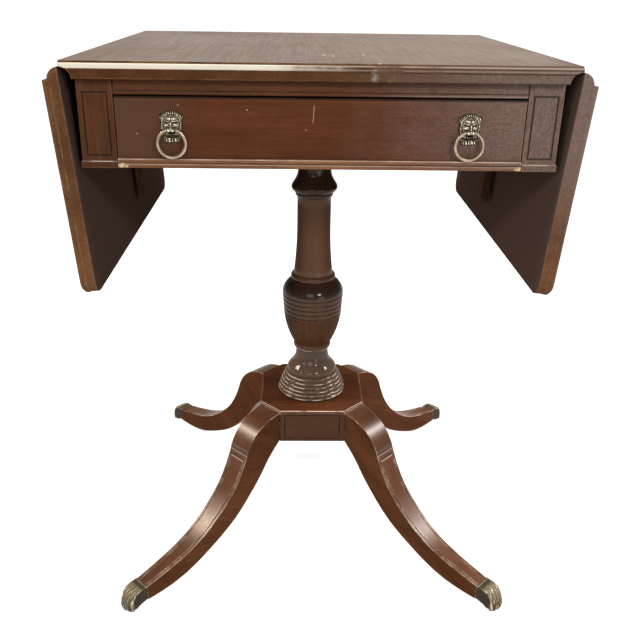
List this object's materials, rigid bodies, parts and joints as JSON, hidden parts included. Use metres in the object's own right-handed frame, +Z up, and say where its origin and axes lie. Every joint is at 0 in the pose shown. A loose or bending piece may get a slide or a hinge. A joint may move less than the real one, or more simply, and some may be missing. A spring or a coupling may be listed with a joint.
{
  "type": "drop-leaf side table",
  "caption": "Drop-leaf side table in red-brown wood: a drawer with lion-mask ring pulls under a moulded top, on a turned column with splayed legs and brass paw caps.",
  "frame": {"origin": "on the floor under the middle of the column", "axes": "+Z up, the drawer faces -Y, +X to the right of someone facing the drawer"},
  "size_m": [0.6008, 0.5486, 0.751],
  "materials": {
    "mahogany": "aged satin lacquer over red-brown stain, worn pale on the edges",
    "mahogany_turned": "dark glossy lacquer on turned wood",
    "secondary_wood": "bare planed wood",
    "antique_brass": "old cast brass, dark in the hollows and rubbed on the high places",
    "steel": "dull plain steel"
  },
  "bodies": {
    "case": {"back_apron": "mahogany", "back_left_leg": "mahogany", "back_left_paw_cap": "antique_brass", "back_right_leg": "mahogany", "back_right_paw_cap": "antique_brass", "column": "mahogany_turned", "column_bearer": "secondary_wood", "column_bolt": "steel", "front_left_leg": "mahogany", "front_left_paw_cap": "antique_brass", "front_rail": "mahogany", "front_right_leg": "mahogany", "front_right_paw_cap": "antique_brass", "hinge_pins": "steel", "hinge_top_screws": "steel", "left_apron": "mahogany", "left_back_hinge_top_plate": "steel", "left_back_post": "mahogany", "left_front_hinge_top_plate": "steel", "left_front_post": "mahogany", "left_kicker": "secondary_wood", "left_runner": "secondary_wood", "left_stay_bracket": "steel", "leg_dowels": "secondary_wood", "paw_cap_screws": "steel", "platform": "mahogany", "right_apron": "mahogany", "right_back_hinge_top_plate": "steel", "right_back_post": "mahogany", "right_front_hinge_top_plate": "steel", "right_front_post": "mahogany", "right_kicker": "secondary_wood", "right_runner": "secondary_wood", "right_stay_bracket": "steel", "stay_pins": "steel", "stay_screws": "steel", "top_panel": "mahogany", "top_screws": "steel"},
    "drawer": {"drawer_back": "secondary_wood", "drawer_bottom": "secondary_wood", "drawer_front": "mahogany", "drawer_left_side": "secondary_wood", "drawer_moulding": "mahogany", "drawer_right_side": "secondary_wood", "left_pull_mask": "antique_brass", "pull_bolts": "steel", "right_pull_mask": "antique_brass"},
    "left_leaf": {"left_back_hinge_leaf_plate": "steel", "left_front_hinge_leaf_plate": "steel", "left_leaf": "mahogany", "left_leaf_screws": "steel"},
    "right_leaf": {"right_back_hinge_leaf_plate": "steel", "right_front_hinge_leaf_plate": "steel", "right_leaf": "mahogany", "right_leaf_screws": "steel"},
    "left_stay": {"left_stay_arm": "steel"},
    "right_stay": {"right_stay_arm": "steel"},
    "left_ring": {"left_pull_ring": "antique_brass"},
    "right_ring": {"right_pull_ring": "antique_brass"}
  },
  "joints": [
    {"name": "drawer_slide", "type": "slide", "parent": "case", "child": "drawer", "axis": [0, -1, 0], "range_m": [0, 0.28]},
    {"name": "left_leaf_hinge", "type": "hinge", "parent": "case", "child": "left_leaf", "pos_m": [-0.2815, 0, 0.732], "axis": [0, 1, 0], "range_deg": [0, 94.2]},
    {"name": "right_leaf_hinge", "type": "hinge", "parent": "case", "child": "right_leaf", "pos_m": [0.2815, 0, 0.732], "axis": [0, -1, 0], "range_deg": [0, 94.2]},
    {"name": "left_stay_swing", "type": "hinge", "parent": "case", "child": "left_stay", "pos_m": [-0.2684, 0.02, 0.662], "axis": [0, 1, 0], "range_deg": [0, 125]},
    {"name": "right_stay_swing", "type": "hinge", "parent": "case", "child": "right_stay", "pos_m": [0.2684, 0.02, 0.662], "axis": [0, -1, 0], "range_deg": [0, 125]},
    {"name": "left_ring_swing", "type": "hinge", "parent": "drawer", "child": "left_ring", "pos_m": [-0.166, -0.2552, 0.678], "axis": [-1, 0, 0], "range_deg": [0, 100]},
    {"name": "right_ring_swing", "type": "hinge", "parent": "drawer", "child": "right_ring", "pos_m": [0.166, -0.2552, 0.678], "axis": [-1, 0, 0], "range_deg": [0, 100]}
  ],
  "couplings": [
    {"joint": "left_stay_swing", "follows": "left_leaf_hinge", "ratio": 1.3243},
    {"joint": "right_stay_swing", "follows": "right_leaf_hinge", "ratio": 1.3243}
  ]
}
